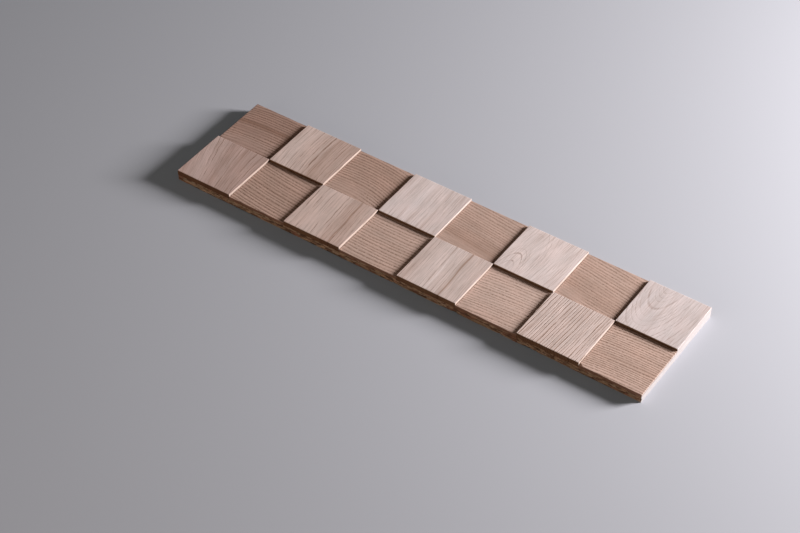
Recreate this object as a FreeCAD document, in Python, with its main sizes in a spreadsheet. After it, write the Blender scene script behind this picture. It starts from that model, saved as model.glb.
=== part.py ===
"""Chequered wall panel tile: oak blocks in two thicknesses, glued to a board of wood strands.

Sizes are in millimetres. The panel lies on its back. The origin is the middle of the back
face, +X runs along the panel, +Y across it and +Z out of its face. The front row is the one
at -Y, and columns count from the left end, at -X.
"""

import FreeCAD, Part
import os

import Sketcher

# Layout of the chequer
ROWS = ["front", "back"]
COLUMNS = 8

# Driving dimensions, each with what it sizes
SIZES = [
    ("block_pitch", 95.5, "full block with its joint, along the panel"),
    ("end_block_length", 93.5, "first and last block of a row, trimmed at the panel's end"),
    ("row_depth", 93.5, "one row of blocks, trimmed at the panel's long edge"),
    ("joint_gap", 0.3, "hairline joint between neighbouring blocks"),
    ("board_thickness", 10.0, "strand board behind the blocks"),
    ("low_block_thickness", 4.5, "thin oak block"),
    ("raised_block_thickness", 8.0, "thick oak block"),
    ("arris_radius", 0.5, "sanded edge round the face of each block"),
]

# Extents of the panel and half of a joint, as expressions on the sheet
PANEL_LENGTH = f"({COLUMNS - 2} * Sizes.block_pitch + 2 * Sizes.end_block_length)"
PANEL_WIDTH = f"({len(ROWS)} * Sizes.row_depth)"
HALF_JOINT = "Sizes.joint_gap / 2"

# Side of a sketched square before its lengths are bound to the sheet
DRAFT_SIDE = 1.0


def make_sheet(doc):
    """Write the driving dimensions into a spreadsheet, one alias for each."""
    sheet = doc.addObject("Spreadsheet::Sheet", "Sizes")
    for line, (alias, millimetres, meaning) in enumerate(SIZES, start=1):
        sheet.set(f"A{line}", meaning)
        sheet.set(f"B{line}", str(millimetres))
        sheet.setAlias(f"B{line}", alias)


def origin_plane(body, role):
    """Return the plane of the body's own origin that has the given role."""
    return next(feature for feature in body.Origin.OriginFeatures if feature.Role == role)


def draw_rectangle(body, length, width):
    """Sketch a rectangle on the body's XY plane, with one corner on the body's origin."""
    sketch = body.newObject("Sketcher::SketchObject", body.Name + "_outline")
    sketch.AttachmentSupport = (origin_plane(body, "XY_Plane"), [""])
    sketch.MapMode = "FlatFace"

    corners = [
        FreeCAD.Vector(0, 0, 0),
        FreeCAD.Vector(DRAFT_SIDE, 0, 0),
        FreeCAD.Vector(DRAFT_SIDE, DRAFT_SIDE, 0),
        FreeCAD.Vector(0, DRAFT_SIDE, 0),
    ]
    for corner, following in zip(corners, corners[1:] + corners[:1]):
        sketch.addGeometry(Part.LineSegment(corner, following), False)

    sides = front, right, back, left = range(len(corners))
    start, end = 1, 2
    sketch_origin = -1
    for side in sides:
        following = (side + 1) % len(sides)
        sketch.addConstraint(Sketcher.Constraint("Coincident", side, end, following, start))
    for side in (front, back):
        sketch.addConstraint(Sketcher.Constraint("Horizontal", side))
    for side in (right, left):
        sketch.addConstraint(Sketcher.Constraint("Vertical", side))
    sketch.addConstraint(Sketcher.Constraint("Coincident", front, start, sketch_origin, start))

    for name, kind, side, size in (
        ("length", "DistanceX", front, length),
        ("width", "DistanceY", right, width),
    ):
        constraint = Sketcher.Constraint(kind, side, start, side, end, DRAFT_SIDE)
        sketch.renameConstraint(sketch.addConstraint(constraint), name)
        sketch.setExpression(f"Constraints.{name}", size)
    return sketch


def make_slab(doc, name, length, width, thickness, corner):
    """Pad a rectangle into a slab. The corner is its lowest X, Y and Z on the panel."""
    body = doc.addObject("PartDesign::Body", name)
    body.Label = name
    pad = body.newObject("PartDesign::Pad", name + "_pad")
    pad.Profile = draw_rectangle(body, length, width)
    pad.setExpression("Length", thickness)
    for axis, place in zip("xyz", corner):
        body.setExpression(f"Placement.Base.{axis}", place)
    doc.recompute()
    return body, pad


def top_face(shape):
    """Name the shape's highest face, as a feature that refers to it does."""
    heights = [face.CenterOfMass.z for face in shape.Faces]
    return f"Face{heights.index(max(heights)) + 1}"


def sand_arrises(body, pad):
    """Round the four edges of the block's face."""
    fillet = body.newObject("PartDesign::Fillet", body.Name + "_arris")
    fillet.Base = (pad, [top_face(pad.Shape)])
    fillet.setExpression("Radius", "Sizes.arris_radius")


def make_board(doc):
    """The strand board is as large as the whole chequer and carries every block."""
    corner = (f"-{PANEL_LENGTH} / 2", f"-{PANEL_WIDTH} / 2", "0")
    name = "backing_board"
    board, _ = make_slab(doc, name, PANEL_LENGTH, PANEL_WIDTH, "Sizes.board_thickness", corner)
    return board


def column_span(column):
    """Where a block starts along the panel, and how long it is.

    The two blocks beside a joint each give half of it, and there is none at the panel's ends.
    """
    left_end = f"-{PANEL_LENGTH} / 2"
    end_length = f"Sizes.end_block_length - {HALF_JOINT}"
    if column == 0:
        return left_end, end_length
    full_blocks = f"{column - 1} * Sizes.block_pitch"
    start = f"{left_end} + Sizes.end_block_length + {full_blocks} + {HALF_JOINT}"
    if column == COLUMNS - 1:
        return start, end_length
    return start, "Sizes.block_pitch - Sizes.joint_gap"


def row_span(row):
    """Where a row starts across the panel, and its depth: the joint lies between the rows."""
    start = f"-{PANEL_WIDTH} / 2" if row == "front" else HALF_JOINT
    return start, f"Sizes.row_depth - {HALF_JOINT}"


def is_raised(row, column):
    """The front row starts with a raised block, and the back row with a low one."""
    return (ROWS.index(row) + column) % 2 == 0


def make_block(doc, row, column):
    """One oak block, glued to the board at its place in the chequer."""
    kind = "raised" if is_raised(row, column) else "low"
    name = f"{kind}_block_{row}_{column + 1}"
    start_along, length = column_span(column)
    start_across, width = row_span(row)
    corner = (start_along, start_across, "Sizes.board_thickness")
    body, pad = make_slab(doc, name, length, width, f"Sizes.{kind}_block_thickness", corner)
    sand_arrises(body, pad)
    return body


def check(doc, bodies):
    """Stop with a message if an object failed or a piece isn't one sound solid."""
    for item in doc.Objects:
        if "Invalid" in item.State or "Error" in item.State:
            raise RuntimeError(f"{item.Name} didn't compute: {item.State}")
    for body in bodies:
        if body.Shape.isNull() or not body.Shape.isValid() or len(body.Shape.Solids) != 1:
            raise RuntimeError(f"{body.Label} isn't one valid solid")


def main():
    doc = FreeCAD.newDocument("wall_panel_tile")
    make_sheet(doc)
    doc.recompute()
    bodies = [make_board(doc)]
    for row in ROWS:
        for column in range(COLUMNS):
            bodies.append(make_block(doc, row, column))
    doc.recompute()
    check(doc, bodies)
    os.makedirs("parts", exist_ok=True)
    for body in bodies:
        body.Shape.exportStep(f"parts/{body.Label}.step")


main()
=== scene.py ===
"""Looks of a chequered wall panel tile: brushed oak blocks on a board of wood strands.

Every oak block is cut from a log of its own. The distance from the log's pith gives the year
rings on each face of the block, for its relief and its colour alike, so that lines on the face
run on over the sides and meet the ring pattern of the end grain. The strand board is built
from its strands. Lengths are in metres, as in the frame, unless a name ends in _mm or _MM.
"""

import math
from collections import namedtuple

import bpy
import numpy as np
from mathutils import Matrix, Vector


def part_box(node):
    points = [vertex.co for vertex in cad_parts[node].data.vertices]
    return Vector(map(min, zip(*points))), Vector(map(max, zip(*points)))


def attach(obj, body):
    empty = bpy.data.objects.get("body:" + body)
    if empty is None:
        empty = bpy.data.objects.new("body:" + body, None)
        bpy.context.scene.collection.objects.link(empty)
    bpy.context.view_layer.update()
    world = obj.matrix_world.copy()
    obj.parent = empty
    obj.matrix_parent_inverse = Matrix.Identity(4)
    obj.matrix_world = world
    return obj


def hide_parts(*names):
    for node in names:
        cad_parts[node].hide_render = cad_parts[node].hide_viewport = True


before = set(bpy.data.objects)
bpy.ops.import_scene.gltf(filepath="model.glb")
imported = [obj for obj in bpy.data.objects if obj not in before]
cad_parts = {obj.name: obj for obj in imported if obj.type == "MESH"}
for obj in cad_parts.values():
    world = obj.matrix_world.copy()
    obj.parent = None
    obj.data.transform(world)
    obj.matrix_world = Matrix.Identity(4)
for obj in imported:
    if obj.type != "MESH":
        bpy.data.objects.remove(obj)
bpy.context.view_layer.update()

MM = 0.001
TAU = 2 * math.pi
BODY = "root"
UP = (0.0, 0.0, 1.0)

# Camera of the photograph, worked out from the corners of the blocks. It is level with the horizon
# and aimed at a point on the floor.
IMAGE_WIDTH_PX = 800
FOCAL_LENGTH_PX = 1963.0
SENSOR_WIDTH_MM = 36.0
CAMERA_AZIMUTH = math.radians(34.59)
CAMERA_ELEVATION = math.radians(43.84)
CAMERA_DISTANCE = 2.6887
CAMERA_TARGET = (-0.0160, -0.0613, 0.0)

# Studio: a large soft lamp low on the right, a weak warm reflector in front and a weak fill all
# round. A lamp's level is how bright a white surface that faces it renders, at the origin.
Lamp = namedtuple("Lamp", "place side level color")
LAMPS = {
    "soft_box": Lamp((1.9, 1.45, 0.70), 0.65, 3.04, (1.0, 0.99, 0.985)),
    "reflector": Lamp((-0.5, -3.0, 0.7), 2.0, 0.28, (1.0, 0.84, 0.70)),
}
FILL_LEVEL = 0.06
FILL_COLOR = (1.15, 0.87, 0.68)

# Floor: its side, how far it lies under the panel, its colour, the faint glow that is left in the
# shadow, the darker colour with which it lights the object, and its roughness
FLOOR_SIDE = 30.0
FLOOR_DROP = 0.02 * MM
FLOOR_COLOR = (0.44, 0.435, 0.475)
FLOOR_GLOW = (0.006, 0.018, 0.024)
FLOOR_BOUNCE = (0.24, 0.235, 0.25)
FLOOR_ROUGHNESS = 0.9

# Tones of oak between its lines, as linear colours
TONES = {
    "chalk": (0.672, 0.566, 0.551),
    "white": (0.592, 0.511, 0.508),
    "blush": (0.632, 0.514, 0.485),
    "cream": (0.602, 0.459, 0.415),
    "rose": (0.545, 0.395, 0.360),
    "tan": (0.485, 0.340, 0.287),
    "russet": (0.440, 0.295, 0.243),
    "umber": (0.380, 0.245, 0.203),
}

# What tints a tone: its brown and its pale streaks, the two ends of a cloudy variation, and how
# much paler the dense wood beside a line is
BROWN_TINT = (0.70, 0.63, 0.58)
PALE_TINT = (1.16, 1.22, 1.26)
CLOUD_TINTS = ((0.948, 0.96, 0.96), (1.052, 1.035, 1.03))
DENSE_WOOD_GLEAM = 0.12

# The lines themselves, and the open pores in them
LINE_COLOR = (0.27, 0.165, 0.12)
PORE_COLOR = (0.17, 0.10, 0.07)

# Sawn sides. Along the grain a colour covers most of the wood's own. It depends on the kind of block,
# except for the one tone that has a colour of its own. Across the grain the wood is tinted darker.
# These colours are partly the real ones of sawn and end grain and partly painted light and shade:
# the sides facing ±X, which the lamp lights, are kept paler and less warm, most of all on the panel's
# right end, as painted light and glare, and the sides facing ±Y are made dark and deep brown, as
# painted shade matched to the front sides in shade.
SAWN_COLORS_WITH_PAINTED_LIGHT_AND_SHADE = {
    "white": (0.315, 0.272, 0.267),
    "raised": (0.33, 0.252, 0.215),
    "low": (0.228, 0.114, 0.069),
}
SAWN_PAINTED_LIGHT_AND_SHADE_SHARE = 0.9
END_GRAIN_TINTS_WITH_PAINTED_LIGHT_AND_SHADE = {"raised": (0.30, 0.192, 0.104), "low": (0.72, 0.85, 0.97)}

# How one block is cut from its log. Lengths are in millimetres: the spacing of the year rings,
# and where the pith lies beside the block's middle and below its face. Taper is how fast the
# pith comes up along the grain. Slant is the grain's slope across the block, bow how that slope
# changes along the grain, fan how it changes across it, and wavy how far its short waves reach.
# Line is how dark the rings show, pin how dark the short streaks between them, and groove how
# deep the brush has cut the rings. Each streak is a place across the grain, a half width and an
# amount of brown. Each quiet patch of plain wood is a place along and across the panel and its
# half sizes.
Oak = namedtuple("Oak", "tone ring_mm side_mm depth_mm taper slant bow fan wavy line pin groove_mm"
                        " streaks quiet")

OAK = {
    "raised_block_front_1": Oak(
        "rose", 5.4, -90, 40, 0.05, -0.22, 0.0012, 0.0035, 0.18, 0.85, 0.35, 0.07,
        ((34, 16, 0.35), (-32, 12, -0.6), (-4, 7, 0.55), (15, 5, 0.45)), ((-38, -36, 20, 18),)),
    "raised_block_front_3": Oak(
        "cream", 5.6, -80, 40, 0.0, -0.08, 0.0005, 0.0, 0.2, 0.8, 0.34, 0.08,
        ((30, 14, 0.5), (24.5, 1.0, 1.0), (13, 4, 0.45), (-18, 14, -0.3)), ((-24, -24, 16, 22),)),
    "raised_block_front_5": Oak(
        "blush", 5.7, -110, 50, 0.0, -0.035, 0.0, 0.0, 0.12, 0.6, 0.32, 0.07,
        ((18, 1.2, 1.15), (15.5, 4, 0.4), (-4.7, 0.9, -0.9), (-42, 14, 0.35), (34, 20, 0.2),
         (-20, 16, -0.2)), ()),
    "raised_block_front_7": Oak(
        "blush", 4.1, -150, 60, 0.0, 0.06, 0.0, 0.0, 0.12, 3.4, 0.45, 0.32,
        ((0, 60, 0.3),), ()),
    "raised_block_back_2": Oak(
        "cream", 4.9, -80, 40, 0.03, -0.04, 0.001, 0.0, 0.12, 1.05, 0.38, 0.08,
        ((14, 9, 0.4), (34, 18, 0.6), (4, 1.0, 0.4), (-32, 16, -0.7)), ((-36, 0, 16, 60),)),
    "raised_block_back_4": Oak(
        "chalk", 6.0, -100, 40, 0.0, -0.03, 0.0, 0.0, 0.1, 0.5, 0.34, 0.05,
        ((-12, 4, -0.4), (19, 0.9, 0.5), (36, 20, 0.2)), ((-26, 0, 24, 60),)),
    "raised_block_back_6": Oak(
        "chalk", 4.0, -27, 19.5, 0.27, 0.08, 0.0, 0.0, 0.1, 0.62, 0.42, 0.05,
        ((-28, 8, 0.15),), ((-28, 20, 20, 24), (-28, -40, 12, 10))),
    "raised_block_back_8": Oak(
        "white", 4.5, -18.3, 22.6, -0.35, 0.02, 0.0, 0.0, 0.1, 0.6, 0.34, 0.05,
        ((36, 20, 0.1), (0, 60, 0.1)), ((-17, -27, 18, 20),)),
    "low_block_back_1": Oak(
        "umber", 4.4, -120, 60, 0.0, 0.05, -0.0012, 0.0, 0.12, 1.55, 0.2, 0.14,
        ((9, 5, 1.1), (30, 14, 0.25), (-32, 14, -0.8)), ((-10, -34, 40, 13), (-20, -7, 32, 8))),
    "low_block_back_3": Oak(
        "russet", 4.7, 150, 56, 0.0, -0.10, -0.0022, 0.0, 0.12, 1.25, 0.2, 0.11,
        ((-38, 12, -0.5), (24, 14, 0.2)), ((-16, -30, 32, 14),)),
    "low_block_back_5": Oak(
        "tan", 3.8, 90, 50, 0.02, -0.14, 0.0, 0.0, 0.12, 0.85, 0.2, 0.1,
        ((-24, 12, 0.4), (0, 60, 0.2)), ((0, -36, 60, 10),)),
    "low_block_back_7": Oak(
        "tan", 4.45, 120, 50, 0.0, -0.15, 0.0, 0.0, 0.09, 0.9, 0.2, 0.12,
        ((-20, 12, 0.3), (0, 60, 0.25)), ((-30, -34, 26, 12),)),
    "low_block_front_2": Oak(
        "russet", 4.8, 160, 70, 0.0, -0.12, 0.0004, 0.0, 0.09, 1.35, 0.15, 0.14,
        ((0, 6, 0.15),), ()),
    "low_block_front_4": Oak(
        "tan", 4.9, 150, 60, 0.0, 0.01, 0.0008, 0.0, 0.14, 0.95, 0.15, 0.12,
        ((-6, 5, 0.15), (0, 60, -0.15)), ()),
    "low_block_front_6": Oak(
        "tan", 4.3, 140, 60, 0.0, 0.08, -0.0003, 0.0, 0.12, 0.85, 0.1, 0.1,
        ((10, 60, -0.6),), ()),
    "low_block_front_8": Oak(
        "tan", 3.7, 150, 60, 0.0, 0.05, -0.0007, 0.0, 0.1, 1.4, 0.15, 0.13,
        ((-12, 10, 0.2), (0, 60, 0.12)), ()),
}

# What the two kinds of block differ in: how bold the faintest ring is, how far the rings' spacing
# varies, the share of a ring that is porous spring wood, and the sizes across, along and through
# the wood of the stretches where its line fades, of its pores and of the fine lines between rings
Cut = namedtuple("Cut", "faintest_ring unevenness_mm spring_share stretch_mm faint bold pores_mm fine_mm")
CUTS = {
    "raised": Cut(0.25, 0.9, 0.17, (3.0, 24.0, 3.0), 0.3, 1.25, (0.6, 9.0, 0.6), (0.75, 60.0, 0.75)),
    "low": Cut(0.6, 0.4, 0.42, (1.4, 3.2, 1.4), 0.2, 1.35, (0.8, 2.8, 0.8), (0.8, 12.0, 0.8)),
}

# How much of the lines' boldness a quiet patch takes away
QUIET_SHARE = 0.72

# One block is chipped at a corner of its face: which one, and the chip's size along X, Y and Z
CHIPPED_BLOCK = "low_block_front_8"
CHIP_MM = (6.0, 4.0, 2.6)

# How brown the chipped corner is painted, up to dark brown, partly the chip's own reddish wood and
# partly painted shade in its dent, and how steeply that starts at the chip's border
CHIP_BROWN_AND_PAINTED_SHADE = 2
CHIP_BORDER = 3

# Grain and rings: the stretch of the grain's waves, how far the long ones reach, how long the long
# and the short ones are, over what distance the rings' spacing varies and how a streak bends. The
# rings are counted from a number that keeps them positive, and each draws one of many chances.
GRAIN_STRETCH = (1.0, 0.35, 1.0)
LONG_WAVE_REACH_MM = 0.4
LONG_WAVE_MM = 34.0
SHORT_WAVE_MM = 7.0
UNEVEN_OVER_MM = 17.0
STREAK_BEND_MM = 0.25
STREAK_BEND_OVER_MM = 60.0
FIRST_RING = 100.0
RING_CHANCES = 1024

# Brushed relief: where a groove is deepest and how wide it is, as shares of the spring wood, how
# its depth varies along it and between which limits, and the same for the fine fibres
GROOVE_PLACE = 0.2
GROOVE_WIDTH = 0.5
DASH_LENGTH = 2.0
DASH_MEAN = 0.78
DASH_SPREAD = 0.3
DASH_LIMITS = (0.2, 1.4)
FIBRE_RELIEF_MM = 0.02
FIBRE_WIDTH_MM = 1.1
FIBRE_STRETCH = (1.0, 0.06, 1.0)
FIBRE_SPREAD = 0.5
FIBRE_LIMITS = (0, 2)

# Random fields: how much shorter and longer their waves are than asked for, and how many there are
WAVE_LENGTHS = (0.7, 1.6)
WAVES_OF_SURFACE = 14
WAVES_OF_RINGS = 7
WAVES_OF_STREAK = 5

# Mesh of a block: steps across and along the grain, its sanded arris, how that is worn and over
# what length the wear varies, the rows of its walls, and how deep its sawn sides are for the same
# relief. An edge is sharp past an angle, and a point this close to a side lies on it.
STEP_ACROSS = 0.36 * MM
STEP_ALONG = 1.25 * MM
ARRIS_ROWS = np.array([0.0, 0.12, 0.3, 0.55, 1.0])
ARRIS_RADIUS = 0.5 * MM
ARRIS_MEAN = 0.85
ARRIS_WEAR = 0.12
ARRIS_LIMITS = (0.5, 1.3)
ARRIS_WEAR_LENGTH = 22 * MM
WALL_ROWS = np.array([0.12, 0.3, 0.5, 0.7, 0.88, 1.0])
SAWN_RELIEF_SHARE = 0.35
SHARP_ANGLE = math.radians(50)
ON_SIDE = 1e-7


def waves(points, wavelength, seed, count=WAVES_OF_SURFACE):
    """Smooth random field with a spread of 1: plane waves in random directions, added up."""
    rng = np.random.default_rng(seed)
    points = np.atleast_2d(points)
    directions = rng.normal(size=(count, points.shape[-1]))
    directions /= np.linalg.norm(directions, axis=1, keepdims=True)
    lengths = wavelength * rng.uniform(*WAVE_LENGTHS, count)
    turns = points @ (directions / lengths[:, None]).T * TAU
    return np.sin(turns + rng.uniform(0, TAU, count)).sum(-1) * math.sqrt(2 / count)


def seed_of(name):
    """A number that stays the same for the same name."""
    return sum((place + 1) * ord(letter) for place, letter in enumerate(name))


class Timber:
    """The wood of one block: where each point lies in the log that it was cut from."""

    def __init__(self, node, oak):
        low, high = (np.array(corner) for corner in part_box(node))
        self.node, self.low, self.high, self.oak = node, low, high, oak
        self.middle = (low + high) / 2
        self.kind = node.split("_")[0]
        self.along = 1 if self.kind == "raised" else 0
        self.across = 1 - self.along
        self.cut = CUTS[self.kind]
        self.seed = seed_of(node)
        self.ring_chance = np.random.default_rng(self.seed).uniform(size=RING_CHANCES)

    def grain(self, points):
        """Across, along and depth under the face, in millimetres, following the grain."""
        oak = self.oak
        across = (points[:, self.across] - self.middle[self.across]) / MM
        along = (points[:, self.along] - self.middle[self.along]) / MM
        depth = (self.high[2] - points[:, 2]) / MM
        straight = across - along * (oak.slant + oak.bow * along + oak.fan * across)
        flat = np.stack([straight, along, depth], -1)
        stretched = flat * GRAIN_STRETCH
        long_wave = LONG_WAVE_REACH_MM * waves(stretched, LONG_WAVE_MM, self.seed + 1)
        short_wave = oak.wavy * waves(stretched, SHORT_WAVE_MM, self.seed + 2)
        return np.stack([straight + (long_wave + short_wave), along, depth], -1)

    def rings(self, grain):
        """Count of year rings from the pith: whole numbers are the starts of spring wood."""
        oak = self.oak
        across, along, depth = grain.T
        down = oak.depth_mm + oak.taper * along - depth
        radius = np.hypot(across - oak.side_mm, down)
        variation = waves(radius[:, None], UNEVEN_OVER_MM, self.seed + 3, WAVES_OF_RINGS)
        return (radius + self.cut.unevenness_mm * variation) / oak.ring_mm + FIRST_RING

    def boldness(self, rings, points):
        """How bold each ring is, changing only halfway between one ring's start and the next."""
        nearest = np.round(rings).astype(int)
        faintest = self.cut.faintest_ring
        bold = faintest + (1 - faintest) * self.ring_chance[nearest % len(self.ring_chance)]
        for *place, half_x, half_y in self.oak.quiet:
            offset = ((points[:, :2] - self.middle[:2]) / MM - place) / (half_x, half_y)
            bold = bold * (1 - QUIET_SHARE * np.exp(-(offset ** 4).sum(-1)))
        return bold

    def groove(self, rings, grain, bold):
        """Depth of the brushed grooves in metres: deepest where a ring's open pores begin."""
        offset = (rings - np.round(rings)) / self.cut.spring_share
        profile = np.exp(-(((offset - GROOVE_PLACE) / GROOVE_WIDTH) ** 2))
        dashes = DASH_MEAN + DASH_SPREAD * waves(grain / self.cut.stretch_mm, DASH_LENGTH, self.seed + 4)
        deep = self.oak.groove_mm * profile * bold * np.clip(dashes, *DASH_LIMITS)
        fibre = 1 + FIBRE_SPREAD * waves(grain * FIBRE_STRETCH, FIBRE_WIDTH_MM, self.seed + 5)
        return (deep + FIBRE_RELIEF_MM * np.clip(fibre, *FIBRE_LIMITS)) * MM

    def streak(self, grain, points):
        """How brown the wood is: streaks along the grain, a chipped corner with painted shade, and pale
        streaks below 0.
        """
        across, along, _ = grain.T
        total = np.zeros(len(grain))
        bends = waves(along[:, None], STREAK_BEND_OVER_MM, self.seed + 6, WAVES_OF_STREAK)
        for place, half_width, amount in self.oak.streaks:
            bent = across - place + STREAK_BEND_MM * bends
            total += amount * np.exp(-((bent / half_width) ** 2))
        # The chipped corner: partly its own reddish brown, partly painted shade in the dent
        return total + CHIP_BROWN_AND_PAINTED_SHADE * np.clip(CHIP_BORDER * self.chip(points), 0, 1)

    def chip(self, points):
        """How deep a point of the face lies in the chipped corner: 1 at the corner, 0 outside it."""
        if self.node != CHIPPED_BLOCK:
            return np.zeros(len(points))
        offset = (points[:, :2] - self.low[:2]) / MM / CHIP_MM[:2]
        return np.clip(1 - offset.sum(-1), 0, None)


def spread(start, end, step, edge_rows):
    """Places from start to end: close rows over both arrises and even steps between them."""
    inner = np.linspace(start + edge_rows[-1], end - edge_rows[-1],
                        max(2, round((end - start) / step)))
    return np.concatenate([start + edge_rows[:-1], inner, end - edge_rows[-2::-1]])


def mesh_object(name, points, quads, triangles=None):
    """A mesh from arrays of corners, smooth but for its sharp edges."""
    mesh = bpy.data.meshes.new(name)
    faces = [quads] if triangles is None else [quads, triangles]
    corners = np.concatenate([f.ravel() for f in faces])
    sizes = np.concatenate([np.full(len(f), f.shape[1]) for f in faces])
    mesh.vertices.add(len(points))
    mesh.vertices.foreach_set("co", np.asarray(points, np.float32).ravel())
    mesh.loops.add(len(corners))
    mesh.loops.foreach_set("vertex_index", corners.astype(np.int32))
    mesh.polygons.add(len(sizes))
    mesh.polygons.foreach_set("loop_start", (np.cumsum(sizes) - sizes).astype(np.int32))
    mesh.update(calc_edges=True)
    mesh.validate()
    mesh.shade_smooth()
    mesh.set_sharp_from_angle(angle=SHARP_ANGLE)
    made = bpy.data.objects.new(name, mesh)
    bpy.context.scene.collection.objects.link(made)
    return made


def store(piece, name, values):
    """Keep a number or a vector for each point of the mesh, for its material."""
    kind, field = ("FLOAT", "value") if values.ndim == 1 else ("FLOAT_VECTOR", "vector")
    attribute = piece.data.attributes.new(name, kind, "POINT")
    attribute.data.foreach_set(field, values.astype(np.float32).ravel())


def block_points(timber):
    """Corners of a block's skin: its face as a grid, then its walls row by row, then its foot.

    Returns the points, the size of the grid and the order of the grid's border.
    """
    low, high = timber.low, timber.high
    steps = {timber.across: STEP_ACROSS, timber.along: STEP_ALONG}
    rows = ARRIS_ROWS * ARRIS_RADIUS
    xs = spread(low[0], high[0], steps[0], rows)
    ys = spread(low[1], high[1], steps[1], rows)
    x, y = (side.ravel() for side in np.meshgrid(xs, ys))
    wear = ARRIS_WEAR * waves(np.stack([x, y], -1), ARRIS_WEAR_LENGTH, timber.seed + 7)
    radius = ARRIS_RADIUS * np.clip(ARRIS_MEAN + wear, *ARRIS_LIMITS)
    inset_x = np.minimum(x - low[0], high[0] - x)
    inset_y = np.minimum(y - low[1], high[1] - y)
    short_x = np.clip(radius - inset_x, 0, None)
    short_y = np.clip(radius - inset_y, 0, None)
    drop = radius - np.sqrt(np.clip(radius ** 2 - short_x ** 2 - short_y ** 2, 0, None))
    face = np.stack([x, y, high[2] - drop], -1)
    face[:, 2] -= CHIP_MM[2] * MM * timber.chip(face)

    nx, ny = len(xs), len(ys)
    grid = np.arange(nx * ny).reshape(ny, nx)
    border = np.concatenate([grid[0, :-1], grid[:-1, -1], grid[-1, :0:-1], grid[:0:-1, 0]])
    walls = []
    for share in WALL_ROWS:
        row = face[border].copy()
        row[:, 2] += (low[2] - row[:, 2]) * share
        walls.append(row)
    foot = np.array([[timber.middle[0], timber.middle[1], low[2]]])
    return np.concatenate([face, *walls, foot]), grid, border


def make_block(node, oak):
    """One oak block in place of its plain solid, brushed on its face and sawn on its sides."""
    timber = Timber(node, oak)
    points, grid, border = block_points(timber)
    grain = timber.grain(points)
    rings = timber.rings(grain)
    bold = timber.boldness(rings, points)
    relief = timber.groove(rings, grain, bold)

    face_count = grid.size
    points[:face_count, 2] -= relief[:face_count]
    wall = slice(face_count, len(points) - 1)
    for axis in (0, 1):
        saw = SAWN_RELIEF_SHARE * relief[wall]
        at_low = points[wall, axis] < timber.low[axis] + ON_SIDE
        at_high = points[wall, axis] > timber.high[axis] - ON_SIDE
        points[wall, axis] += saw * at_low - saw * at_high

    around = [grid[:-1, :-1], grid[:-1, 1:], grid[1:, 1:], grid[1:, :-1]]
    quads = [np.stack(around, -1).reshape(-1, len(around))]
    upper = border
    for row in range(len(WALL_ROWS)):
        lower = face_count + row * len(border) + np.arange(len(border))
        quads.append(np.stack([upper, lower, np.roll(lower, -1), np.roll(upper, -1)], -1))
        upper = lower
    centre = np.full(len(border), len(points) - 1)
    foot = np.stack([np.roll(upper, -1), upper, centre], -1)

    piece = mesh_object(node + "_oak", points, np.concatenate(quads), foot)
    store(piece, "grain", grain)
    store(piece, "rings", rings)
    store(piece, "boldness", bold)
    store(piece, "streak", timber.streak(grain, points))
    piece.data.materials.append(oak_material(node, timber))
    dress(piece, "oak_" + timber.kind, node)


def dress(piece, slot, *nodes):
    """Tie a finished piece to the frame."""
    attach(piece, BODY)
    if nodes:
        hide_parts(*nodes)


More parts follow.
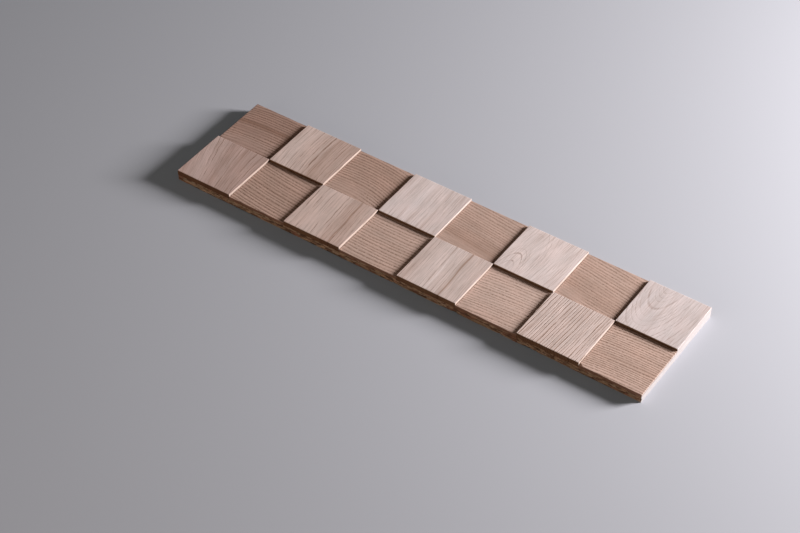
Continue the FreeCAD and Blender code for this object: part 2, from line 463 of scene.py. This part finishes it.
class Graph:
    """A material's nodes, with a short call for each kind that is used here."""

    def __init__(self, name):
        self.material = bpy.data.materials.new(name)
        self.material.use_nodes = True
        self.nodes = self.material.node_tree.nodes
        self.links = self.material.node_tree.links
        self.shader = self.nodes["Principled BSDF"]

    def feed(self, socket, value):
        """Link a socket into another, or set it to a constant."""
        if isinstance(value, bpy.types.NodeSocket):
            self.links.new(value, socket)
        else:
            socket.default_value = value

    def attribute(self, name, output="Fac"):
        """Read what store() kept on the mesh."""
        node = self.nodes.new("ShaderNodeAttribute")
        node.attribute_name = name
        return node.outputs[output]

    def math(self, operation, first, second=0.0, clamp=False):
        """Work out one number from two."""
        node = self.nodes.new("ShaderNodeMath")
        node.operation = operation
        node.use_clamp = clamp
        self.feed(node.inputs[0], first)
        self.feed(node.inputs[1], second)
        return node.outputs[0]

    def vector(self, operation, first, second):
        """Work out a vector, or the number that a product of two vectors gives."""
        node = self.nodes.new("ShaderNodeVectorMath")
        node.operation = operation
        self.feed(node.inputs[0], first)
        self.feed(node.inputs[1], second)
        return node.outputs["Value" if operation == "DOT_PRODUCT" else "Vector"]

    def noise(self, place, stretch, detail, roughness):
        """Noise from 0 to 1 with features of the stretch's size, in the units of the place."""
        node = self.nodes.new("ShaderNodeTexNoise")
        scaled = self.vector("MULTIPLY", place, tuple(1 / size for size in stretch))
        self.feed(node.inputs["Vector"], scaled)
        node.inputs["Scale"].default_value = 1.0
        node.inputs["Detail"].default_value = detail
        node.inputs["Roughness"].default_value = roughness
        return node.outputs[0]

    def step(self, value, start, end, low=0.0, high=1.0):
        """Smoothly from low to high while the value goes from start to end."""
        node = self.nodes.new("ShaderNodeMapRange")
        node.interpolation_type = "SMOOTHSTEP"
        for socket, number in zip(node.inputs, (value, start, end, low, high)):
            self.feed(socket, number)
        return node.outputs[0]

    def scale(self, vector, factor):
        """Multiply all parts of a vector by one number."""
        node = self.nodes.new("ShaderNodeVectorMath")
        node.operation = "SCALE"
        self.feed(node.inputs[0], vector)
        self.feed(node.inputs["Scale"], factor)
        return node.outputs["Vector"]

    def mix(self, amount, first, second):
        """Mix two colours."""
        node = self.nodes.new("ShaderNodeMix")
        node.data_type = "RGBA"
        colours = [socket for socket in node.inputs if socket.type == "RGBA"]
        self.feed(node.inputs[0], amount)
        for socket, colour in zip(colours, (first, second)):
            self.feed(socket, colour if isinstance(colour, bpy.types.NodeSocket) else (*colour, 1.0))
        return node.outputs[2]

    def choose(self, value, colours):
        """Give one of several colours, the first for a value of 0 and the last for nearly 1."""
        node = self.nodes.new("ShaderNodeValToRGB")
        node.color_ramp.interpolation = "CONSTANT"
        stops = node.color_ramp.elements
        for number in range(2, len(colours)):
            stops.new(number / len(colours))
        for number, colour in enumerate(colours):
            stops[number].position = number / len(colours)
            stops[number].color = (*colour, 1.0)
        self.feed(node.inputs[0], value)
        return node.outputs[0]

    def bump(self, height, depth, strength=1.0):
        """Relief too fine for the mesh, from a height between 0 and 1."""
        node = self.nodes.new("ShaderNodeBump")
        node.inputs["Strength"].default_value = strength
        node.inputs["Distance"].default_value = depth
        self.feed(node.inputs["Height"], height)
        self.feed(self.shader.inputs["Normal"], node.outputs[0])

    def finish(self, colour, roughness, specular):
        """Connect the colour and the roughness. The specular level is a constant."""
        self.feed(self.shader.inputs["Base Color"], colour)
        self.feed(self.shader.inputs["Roughness"], roughness)
        self.shader.inputs["Specular IOR Level"].default_value = specular
        return self.material


# Noises in the wood: the size of their features across, along and through it, and the numbers that
# give each block a place of its own in them
FIBRES_MM = (0.7, 26.0, 0.7)
BROAD_MM = (11.0, 150.0, 11.0)
CLOUD_MM = (30.0, 45.0, 30.0)
NOISE_PLACES = (97, 89)

# Where in a ring the next one's line starts, and where a line fades and the dense wood beside it
# starts and ends, the last three as shares of the spring wood
LINE_STARTS = (0.9, 1.0)
LINE_FADES = (0.35, 1.0)
DENSE_STARTS = (0.7, 1.2)
DENSE_ENDS = (1.3, 2.4)

# Between which values of its noise each of these sets in. For the last two the value is how
# squarely a side faces along the grain or upward.
BREAKS_AT = (0.36, 0.58)
PORES_AT = (0.42, 0.62)
PINS_AT = (0.54, 0.64)
BROAD_AT = (0.42, 0.70)
CLOUD_AT = (0.3, 0.7)
HAIRS_AT = (0.3, 0.72)
FIBRES_AT = (0.2, 0.8)
END_GRAIN_AT = (0.55, 0.9)
SIDES_AT = (0.45, 0.2)

# How much of the wood lines and pores cover, how brown broad streaks are, from pale to brown, and
# the shades of the hairs in the grain
LINE_COVER = 0.6
PORE_COVER = 0.7
BROAD_BROWN = (-0.08, 0.22)
HAIR_SHADES = (0.86, 1.09)

# Surface of the oak: how far its fibres stand out and its pores lie back, and its gloss
OAK_BUMP = 0.12 * MM
OAK_BUMP_STRENGTH = 0.8
FIBRE_HEIGHT = 0.5
PORE_DEPTH = 0.9
OAK_ROUGHNESS = (0.56, 0.74)
OAK_SPECULAR = 0.28


def ring_lines(graph, timber, place):
    """How dark the rings' lines are, how dark the pores in them, and how pale the wood beside them."""
    oak, cut = timber.oak, timber.cut
    spring_share = cut.spring_share
    share = graph.math("FRACT", graph.attribute("rings"))
    fades = graph.step(share, *(edge * spring_share for edge in LINE_FADES), 1.0, 0.0)
    spring = graph.math("MAXIMUM", fades, graph.step(share, *LINE_STARTS))
    dense_starts = graph.step(share, *(edge * spring_share for edge in DENSE_STARTS))
    dense_ends = graph.step(share, *(edge * spring_share for edge in DENSE_ENDS), 1.0, 0.0)
    dense = graph.math("MULTIPLY", dense_starts, dense_ends)

    breaks = graph.noise(place, cut.stretch_mm, detail=2.0, roughness=0.5)
    bold = graph.math("MULTIPLY", graph.attribute("boldness"), oak.line)
    bold = graph.math("MULTIPLY", bold, graph.step(breaks, *BREAKS_AT, cut.faint, cut.bold))
    line = graph.math("MULTIPLY", spring, bold)
    dashes = graph.noise(place, cut.pores_mm, detail=2.0, roughness=0.55)
    pores = graph.math("MULTIPLY", graph.step(dashes, *PORES_AT), line)
    speck = graph.math("MULTIPLY", pores, PORE_COVER, True)
    gleam = graph.math("MULTIPLY", graph.math("MULTIPLY", dense, bold), DENSE_WOOD_GLEAM)
    return line, speck, gleam


def face_colour(graph, timber, place, fibres):
    """Colour of the brushed wood, and how dark its pores are."""
    oak = timber.oak
    line, speck, gleam = ring_lines(graph, timber, place)
    broad = graph.noise(place, BROAD_MM, detail=3.0, roughness=0.55)
    cloud = graph.noise(place, CLOUD_MM, detail=2.0, roughness=0.5)
    pins = graph.noise(place, timber.cut.fine_mm, detail=1.0, roughness=0.5)

    brown = graph.math("ADD", graph.attribute("streak"), graph.step(broad, *BROAD_AT, *BROAD_BROWN))
    pale = graph.math("MULTIPLY", brown, -1.0, True)
    shade = graph.mix(graph.math("MAXIMUM", brown, 0.0, True), (1.0, 1.0, 1.0), BROWN_TINT)
    shade = graph.mix(pale, shade, PALE_TINT)
    base = graph.vector("MULTIPLY", shade, TONES[oak.tone])
    base = graph.vector("MULTIPLY", base, graph.mix(graph.step(cloud, *CLOUD_AT), *CLOUD_TINTS))
    base = graph.mix(graph.math("MULTIPLY", graph.step(pins, *PINS_AT), oak.pin), base, LINE_COLOR)
    base = graph.mix(graph.math("MULTIPLY", line, LINE_COVER, True), base, LINE_COLOR)
    base = graph.mix(speck, base, PORE_COLOR)
    # Brown above 1 darkens towards the line colour: in the boldest streaks, and as painted shade in the
    # chipped corner
    base = graph.mix(graph.math("SUBTRACT", brown, 1.0, True), base, LINE_COLOR)
    hair = graph.step(fibres, *HAIRS_AT, *HAIR_SHADES)
    base = graph.scale(base, graph.math("MULTIPLY", graph.math("ADD", 1.0, gleam), hair))
    return base, speck


def side_colour(graph, timber, face):
    """The face's colour, and on the sawn sides what the saw leaves along and across the grain, with
    painted light on the sides facing ±X and painted shade on those facing ±Y.
    """
    normal = graph.nodes.new("ShaderNodeNewGeometry").outputs["Normal"]
    axis = (1.0, 0.0, 0.0) if timber.along == 0 else (0.0, 1.0, 0.0)
    facing = graph.math("ABSOLUTE", graph.vector("DOT_PRODUCT", normal, axis))
    level = graph.math("ABSOLUTE", graph.vector("DOT_PRODUCT", normal, UP))
    # These side colours paint light on the sides facing ±X and shade on those facing ±Y, over the real
    # colours of sawn and end grain
    sawn_and_painted_light_and_shade_color = SAWN_COLORS_WITH_PAINTED_LIGHT_AND_SHADE.get(timber.oak.tone, SAWN_COLORS_WITH_PAINTED_LIGHT_AND_SHADE[timber.kind])
    ripped_with_painted_light_and_shade = graph.mix(SAWN_PAINTED_LIGHT_AND_SHADE_SHARE, face, sawn_and_painted_light_and_shade_color)
    cross_cut_with_painted_light_and_shade = graph.vector("MULTIPLY", face, END_GRAIN_TINTS_WITH_PAINTED_LIGHT_AND_SHADE[timber.kind])
    side = graph.mix(graph.step(facing, *END_GRAIN_AT), ripped_with_painted_light_and_shade, cross_cut_with_painted_light_and_shade)
    return graph.mix(graph.step(level, *SIDES_AT), face, side)


def oak_material(node, timber):
    """Brushed oak: year rings with open pores, fine fibres, broad streaks and dark end grain."""
    graph = Graph(node + "_oak")
    own_place = (*(timber.seed % number for number in NOISE_PLACES), 0.0)
    place = graph.vector("ADD", graph.attribute("grain", "Vector"), own_place)
    fibres = graph.noise(place, FIBRES_MM, detail=4.0, roughness=0.6)
    face, speck = face_colour(graph, timber, place, fibres)
    height = graph.math("MULTIPLY", fibres, FIBRE_HEIGHT)
    depth = graph.math("MULTIPLY", speck, PORE_DEPTH)
    graph.bump(graph.math("SUBTRACT", height, depth), OAK_BUMP, OAK_BUMP_STRENGTH)
    roughness = graph.step(fibres, *FIBRES_AT, *OAK_ROUGHNESS)
    return graph.finish(side_colour(graph, timber, face), roughness, OAK_SPECULAR)


# Strand board: how far its core stays inside its sides and above its back
CORE_INSET = 1.1 * MM
CORE_LIFT = 1.3 * MM

# How one edge of the board is made of strands: their shortest and longest length, how far they lie
# back and how deep they go, how thick and close they are, the share that has broken out, how ragged
# the lower border is and how far from the board's corners they stop
Edge = namedtuple("Edge", "shortest_mm longest_mm recess_mm depth_mm fullness empty ragged_mm stop_mm")
LONG_EDGE = Edge(3.5, 16.0, 0.3, 1.6, 1.0, 0.07, 1.9, 0.5)
CUT_END = Edge(6.0, 20.0, 0.04, 0.4, 1.6, 0.0, 0.0, 0.0)

# Layers of strands in an edge, and the lowest of them, which are ragged. A strand's thickness and
# how far it strays are shares of a layer. The next one starts at a share of its length. What the
# corner leaves too short is dropped, and the strands stop there unevenly.
EDGE_LAYERS = 7
RAGGED_LAYERS = 2
STRAND_THICKNESS = (0.6, 2.1)
STRAND_STRAY = 0.25
STRAND_TILT = 0.04
STRAND_ADVANCE = (0.7, 1.05)
SHORTEST_STRAND = 1 * MM
UNEVEN_STOP_MM = (0.02, 0.1)

# Outline of a strand: places along it, how far its two sides stand out there, as shares of its
# length and its thickness, and how much that varies
STRAND_PLACES = np.array([-0.5, -0.33, -0.1, 0.14, 0.32, 0.5])
STRAND_TOP = np.array([0.05, 0.36, 0.5, 0.5, 0.34, 0.04])
STRAND_BOTTOM = np.array([0.05, 0.34, 0.5, 0.5, 0.36, 0.04])
STRAND_VARIATION = (0.6, 1.2)

# What closes the gaps of a cut end, and the corner of the board that has broken out
FILL_RECESS = 0.12 * MM
FILL_ROWS = 14
FILL_TONE = 0.5
NOTCH_HEIGHT = 5 * MM
NOTCH_HALF_HEIGHT = 1.4 * MM
NOTCH_DEPTH = 1.6 * MM

# Flakes on the back: their count and size, their turn away from the board's length, how much their
# corners vary, how far inside the board's sides they stay, how high the lowest lies, how much
# higher the last, and how thick they are
BACK_FLAKES = 420
FLAKE_LENGTH_MM = (45, 110)
FLAKE_WIDTH_MM = (9, 26)
FLAKE_TURN = 0.45
FLAKE_VARIATION = (0.86, 1.0)
FLAKE_MARGIN = 0.3 * MM
FLAKE_LOWEST_MM = 0.02
FLAKE_RISE_MM = 0.55
FLAKE_THICKNESS = 0.5 * MM
FLAKE_CORNERS = np.array([(-1, -0.8), (-0.3, -1), (0.4, -0.95), (1, -0.7),
                          (0.94, 0.75), (0.3, 1), (-0.4, 0.95), (-0.97, 0.7)])

# Looks of the strands: their colours, and that of the cut ends, which the saw and painted glare make
# nearly even: a pale, nearly neutral colour, partly the saw-cut wood and partly standing in for the
# lamp washing out the right end. Their noises have a size across, along and through the strand, and
# each tone has a place of its own in them. They darken and lighten the wood a little on even strands,
# and more on others.
STRAND_TONES = (
    (0.19, 0.11, 0.07), (0.49, 0.32, 0.21), (0.26, 0.145, 0.093), (0.38, 0.19, 0.125),
    (0.52, 0.35, 0.235), (0.41, 0.28, 0.185), (0.51, 0.365, 0.265),
)
CUT_END_COLOR_AND_PAINTED_GLARE = (0.354, 0.325, 0.330)
CUT_END_EVENNESS_AND_PAINTED_GLARE = 0.95
STRAND_FIBRES_MM = (0.5, 9.0, 0.5)
STRAND_PATCHES_MM = (3.0, 8.0, 3.0)
STRAND_NOISE_SPREAD = 500.0
STRAND_SHADES_AT = (0.25, 0.75)
EVEN_SHADES = (0.92, 1.04)
EXTRA_CONTRAST = (0.2, 0.09)
STRAND_ROUGHNESS = (0.6, 0.8)

# Looks of the core: its colours, dark as painted shade for the voids between strands, and the size
# of its crumbs along X, Y and Z
CORE_PAINTED_SHADE_COLORS = ((0.15, 0.085, 0.05), (0.30, 0.185, 0.115))
CORE_CRUMBS = (2.2 * MM, 2.2 * MM, 0.9 * MM)
CORE_CRUMBS_AT = (0.35, 0.7)


def splinter(rng, length, thickness):
    """Outline of a cut strand: long, thin at both ends and uneven between them."""
    top = STRAND_TOP * rng.uniform(*STRAND_VARIATION, len(STRAND_PLACES))
    bottom = STRAND_BOTTOM * rng.uniform(*STRAND_VARIATION, len(STRAND_PLACES))
    upper = np.stack([STRAND_PLACES, top], -1)
    lower = np.stack([-STRAND_PLACES, -bottom], -1)
    outline = np.concatenate([upper, lower])
    return outline[::-1] * (length, thickness)


class Strands:
    """Gathers many thin prisms into one mesh, each with a tone and a grain of its own."""

    def __init__(self):
        self.points, self.faces, self.tones, self.grain = [], [], [], []
        self.count = 0

    def add(self, outline, inward, tone, grain):
        """Add a prism: an outline in front, the same moved inward behind, and its sides."""
        size = len(outline)
        front = np.arange(size) + self.count
        following = np.roll(front, -1)
        sides = np.stack([front, front + size, following + size, following], -1)
        self.faces += [front.tolist(), *sides.tolist(), (front[::-1] + size).tolist()]
        self.count += 2 * size
        self.points += [outline, outline + inward]
        self.tones.append(np.full(2 * size, tone))
        self.grain += [grain, grain]

    def build(self, name, material):
        """Make one piece of all the prisms added so far."""
        mesh = bpy.data.meshes.new(name)
        mesh.from_pydata(np.concatenate(self.points).tolist(), [], self.faces)
        mesh.validate()
        piece = bpy.data.objects.new(name, mesh)
        bpy.context.scene.collection.objects.link(piece)
        store(piece, "tone", np.concatenate(self.tones))
        store(piece, "grain", np.concatenate(self.grain))
        piece.data.materials.append(material)
        dress(piece, "strand_board")


def broken_off(corner, z):
    """How much a corner of the board has lost at each height: only the one at +X and -Y is broken."""
    is_broken = corner[0] > 0 > corner[1]
    return is_broken * NOTCH_DEPTH * np.exp(-(((z - NOTCH_HEIGHT) / NOTCH_HALF_HEIGHT) ** 2))


def edge_strands(strands, rng, corners, low_z, high_z, edge):
    """Cut strands in layers along one sawn edge of the board, from corner to corner."""
    start, end = (np.array([*corner, 0.0]) for corner in corners)
    length = np.linalg.norm(end - start)
    along = (end - start) / length
    outward = np.cross(along, UP)
    layer_height = (high_z - low_z) / EDGE_LAYERS
    for layer in range(EDGE_LAYERS):
        place = -rng.uniform(0, edge.shortest_mm) * MM
        while place < length:
            size = rng.uniform(edge.shortest_mm, edge.longest_mm) * MM
            thickness = edge.fullness * layer_height * rng.uniform(*STRAND_THICKNESS)
            height = low_z + (layer + 0.5 + rng.normal(0, STRAND_STRAY)) * layer_height
            outline = splinter(rng, size, thickness)
            across = place + size / 2 + outline[:, 0]
            z = height + outline[:, 1] + outline[:, 0] * rng.normal(0, STRAND_TILT)
            is_ragged = layer < RAGGED_LAYERS
            border = low_z + (rng.uniform(0, edge.ragged_mm) * MM if is_ragged else 0.0)
            z = np.clip(z, border, high_z)
            stop = (edge.stop_mm + rng.uniform(*UNEVEN_STOP_MM)) * MM
            kept = np.clip(across, stop + broken_off(start, z), length - stop - broken_off(end, z))
            lie_back = abs(rng.normal(0, edge.recess_mm))
            recess = (lie_back + rng.uniform(0, edge.recess_mm, len(outline))) * MM
            points = start + kept[:, None] * along - recess[:, None] * outward
            points[:, 2] = z
            grain = np.stack([outline[:, 1], outline[:, 0], np.full(len(z), height)], -1) / MM
            if np.ptp(kept) > SHORTEST_STRAND and rng.uniform() > edge.empty:
                strands.add(points, -outward * edge.depth_mm * MM, rng.uniform(), grain)
            place += size * rng.uniform(*STRAND_ADVANCE) / edge.fullness


def fill_between_strands(strands, corners, low_z, high_z, edge):
    """Close a clean cut end just behind the strands, where glue and fines fill the gaps."""
    start, end = (np.array([*corner, 0.0]) for corner in corners)
    along = (end - start) / np.linalg.norm(end - start)
    outward = np.cross(along, UP)
    upward = np.linspace(low_z, high_z, FILL_ROWS)
    sides = []
    for corner, inward, heights in ((end, -along, upward), (start, along, upward[::-1])):
        side = corner + broken_off(corner, heights)[:, None] * inward - outward * FILL_RECESS
        side[:, 2] = heights
        sides.append(side)
    outline = np.concatenate(sides)
    strands.add(outline, -outward * edge.depth_mm * MM, FILL_TONE, outline / MM)


def back_flakes(strands, rng, low, high):
    """Large flakes pressed into the back, most of them lying along the board."""
    for flake in range(BACK_FLAKES):
        size = np.array([rng.uniform(*FLAKE_LENGTH_MM), rng.uniform(*FLAKE_WIDTH_MM)]) * MM
        turn = rng.normal(0, FLAKE_TURN)
        local = FLAKE_CORNERS * rng.uniform(*FLAKE_VARIATION, (len(FLAKE_CORNERS), 1)) * size / 2
        turned = local @ [[math.cos(turn), math.sin(turn)], [-math.sin(turn), math.cos(turn)]]
        flat = turned + rng.uniform(low[:2], high[:2])
        flat = np.clip(flat, low[:2] + FLAKE_MARGIN, high[:2] - FLAKE_MARGIN)
        z = low[2] + (FLAKE_LOWEST_MM + FLAKE_RISE_MM * flake / BACK_FLAKES) * MM
        outline = np.column_stack([flat, np.full(len(flat), z)])[::-1]
        grain = np.column_stack([local[:, 1] / MM, local[:, 0] / MM, np.full(len(flat), flake)])[::-1]
        strands.add(outline, np.array([0, 0, FLAKE_THICKNESS]), rng.uniform(), grain)


def strand_material(name, evenness_and_painted_glare):
    """Pressed wood strands, from dark brown to honey, each with its own fine grain."""
    graph = Graph(name)
    tone = graph.attribute("tone")
    offset = graph.nodes.new("ShaderNodeCombineXYZ")
    graph.feed(offset.inputs[2], graph.math("MULTIPLY", tone, STRAND_NOISE_SPREAD))
    place = graph.vector("ADD", graph.attribute("grain", "Vector"), offset.outputs[0])
    fibres = graph.noise(place, STRAND_FIBRES_MM, detail=4.0, roughness=0.6)
    patches = graph.noise(place, STRAND_PATCHES_MM, detail=2.0, roughness=0.5)
    # On the cut ends a pale, even colour covers the strands' tones and evens out their noises: partly the
    # saw-cut wood, partly painted glare of the lamp on the right end
    base = graph.mix(evenness_and_painted_glare, graph.choose(tone, STRAND_TONES), CUT_END_COLOR_AND_PAINTED_GLARE)
    contrast = 1 - evenness_and_painted_glare
    dark = EVEN_SHADES[0] - EXTRA_CONTRAST[0] * contrast
    light = EVEN_SHADES[1] + EXTRA_CONTRAST[1] * contrast
    fibre_shade = graph.step(fibres, *STRAND_SHADES_AT, dark, light)
    patch_shade = graph.step(patches, *STRAND_SHADES_AT, dark, light)
    base = graph.scale(base, graph.math("MULTIPLY", fibre_shade, patch_shade))
    graph.bump(fibres, depth=0.15 * MM, strength=0.7)
    roughness = graph.step(fibres, *FIBRES_AT, *STRAND_ROUGHNESS)
    return graph.finish(base, roughness, specular=0.25)


def core_material():
    """The board's inside, coloured dark as painted shade in the voids between strands, where alone it
    shows.
    """
    graph = Graph("strand_board_core")
    place = graph.nodes.new("ShaderNodeTexCoord").outputs["Object"]
    crumbs = graph.noise(place, CORE_CRUMBS, detail=3.0, roughness=0.6)
    base = graph.mix(graph.step(crumbs, *CORE_CRUMBS_AT), *CORE_PAINTED_SHADE_COLORS)
    graph.bump(crumbs, depth=0.4 * MM)
    return graph.finish(base, roughness=0.85, specular=0.2)


def make_board():
    """The strand board: a core, cut strands round its four edges and flakes on its back."""
    node = "backing_board"
    low, high = (np.array(corner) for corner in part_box(node))
    inner_low = low + (CORE_INSET, CORE_INSET, CORE_LIFT)
    inner_high = high - (CORE_INSET, CORE_INSET, 0.0)
    ring = [(0, 0), (1, 0), (1, 1), (0, 1)]
    corners = [((inner_low, inner_high)[x][0], (inner_low, inner_high)[y][1], z)
               for z in (inner_low[2], inner_high[2]) for x, y in ring]
    sides = np.array([[0, 3, 2, 1], [4, 5, 6, 7], [0, 1, 5, 4], [1, 2, 6, 5], [2, 3, 7, 6],
                      [3, 0, 4, 7]])
    core = mesh_object("backing_board_core", np.array(corners), sides)
    core.data.materials.append(core_material())
    dress(core, "strand_board", node)

    rng = np.random.default_rng(seed_of(node))
    side_material = strand_material("strand_board", 0.0)
    end_material = strand_material("strand_board_cut_ends", CUT_END_EVENNESS_AND_PAINTED_GLARE)
    turns = [((low, high)[x][0], (low, high)[y][1]) for x, y in ring]
    for corner, side in enumerate(("front", "right", "back", "left")):
        strands = Strands()
        run = turns[corner], turns[(corner + 1) % len(turns)]
        cut_end = side in ("left", "right")
        edge_strands(strands, rng, run, low[2], high[2], CUT_END if cut_end else LONG_EDGE)
        if cut_end:
            fill_between_strands(strands, run, low[2], high[2], CUT_END)
        strands.build(f"backing_board_{side}_strands", end_material if cut_end else side_material)
    back = Strands()
    back_flakes(back, rng, low, high)
    back.build("backing_board_back_flakes", side_material)


def make_floor():
    """A pale floor that keeps the shadow, and gives back less light than it shows."""
    half = FLOOR_SIDE / 2
    mesh = bpy.data.meshes.new("floor")
    corners = [(-half, -half, 0), (half, -half, 0), (half, half, 0), (-half, half, 0)]
    mesh.from_pydata(corners, [], [tuple(range(len(corners)))])
    floor = bpy.data.objects.new("floor", mesh)
    floor.location.z = -FLOOR_DROP
    bpy.context.scene.collection.objects.link(floor)
    graph = Graph("floor")
    seen = graph.nodes.new("ShaderNodeLightPath").outputs
    direct = graph.math("MAXIMUM", seen["Is Camera Ray"], seen["Is Glossy Ray"])
    direct = graph.math("MAXIMUM", direct, seen["Is Transmission Ray"])
    colour = graph.mix(direct, FLOOR_BOUNCE, FLOOR_COLOR)
    graph.feed(graph.shader.inputs["Emission Strength"], direct)
    graph.shader.inputs["Emission Color"].default_value = (*FLOOR_GLOW, 1.0)
    floor.data.materials.append(graph.finish(colour, FLOOR_ROUGHNESS, specular=0.0))


def aim(item, place, target):
    """Put a lamp or the camera at a place and turn it to a target, level with the horizon."""
    item.location = place
    item.rotation_euler = (Vector(target) - Vector(place)).to_track_quat("-Z", "Y").to_euler()
    bpy.context.scene.collection.objects.link(item)


def make_lamp(name, lamp):
    """A square area lamp aimed at the origin."""
    light = bpy.data.lights.new(name, "AREA")
    light.shape = "SQUARE"
    light.size = lamp.side
    light.color = lamp.color
    light.energy = lamp.level * (math.pi * math.hypot(*lamp.place)) ** 2
    aim(bpy.data.objects.new(name, light), lamp.place, (0, 0, 0))


def make_world():
    """Weak even fill from all round, and a pale backdrop where the camera sees past the floor."""
    world = bpy.data.worlds.new("studio")
    world.use_nodes = True
    nodes, links = world.node_tree.nodes, world.node_tree.links
    background = nodes["Background"]
    seen = nodes.new("ShaderNodeLightPath")
    fill = nodes.new("ShaderNodeMix")
    fill.data_type = "RGBA"
    links.new(seen.outputs["Is Camera Ray"], fill.inputs[0])
    colours = [socket for socket in fill.inputs if socket.type == "RGBA"]
    colours[0].default_value = (*(FILL_LEVEL * part for part in FILL_COLOR), 1.0)
    colours[1].default_value = (*FLOOR_COLOR, 1.0)
    links.new(fill.outputs[2], background.inputs["Color"])
    bpy.context.scene.world = world


def make_camera():
    """The photograph's camera."""
    lens_data = bpy.data.cameras.new("camera")
    lens_data.sensor_width = SENSOR_WIDTH_MM
    lens_data.lens = FOCAL_LENGTH_PX / IMAGE_WIDTH_PX * SENSOR_WIDTH_MM
    camera = bpy.data.objects.new("camera", lens_data)
    level = math.cos(CAMERA_ELEVATION) * CAMERA_DISTANCE
    place = (
        CAMERA_TARGET[0] + level * math.sin(CAMERA_AZIMUTH),
        CAMERA_TARGET[1] - level * math.cos(CAMERA_AZIMUTH),
        CAMERA_TARGET[2] + CAMERA_DISTANCE * math.sin(CAMERA_ELEVATION),
    )
    aim(camera, place, CAMERA_TARGET)
    bpy.context.scene.camera = camera


for node_name, block_oak in OAK.items():
    make_block(node_name, block_oak)
make_board()
make_floor()
for lamp_name, studio_lamp in LAMPS.items():
    make_lamp(lamp_name, studio_lamp)
make_world()
make_camera()
bpy.context.scene.view_settings.view_transform = "Standard"
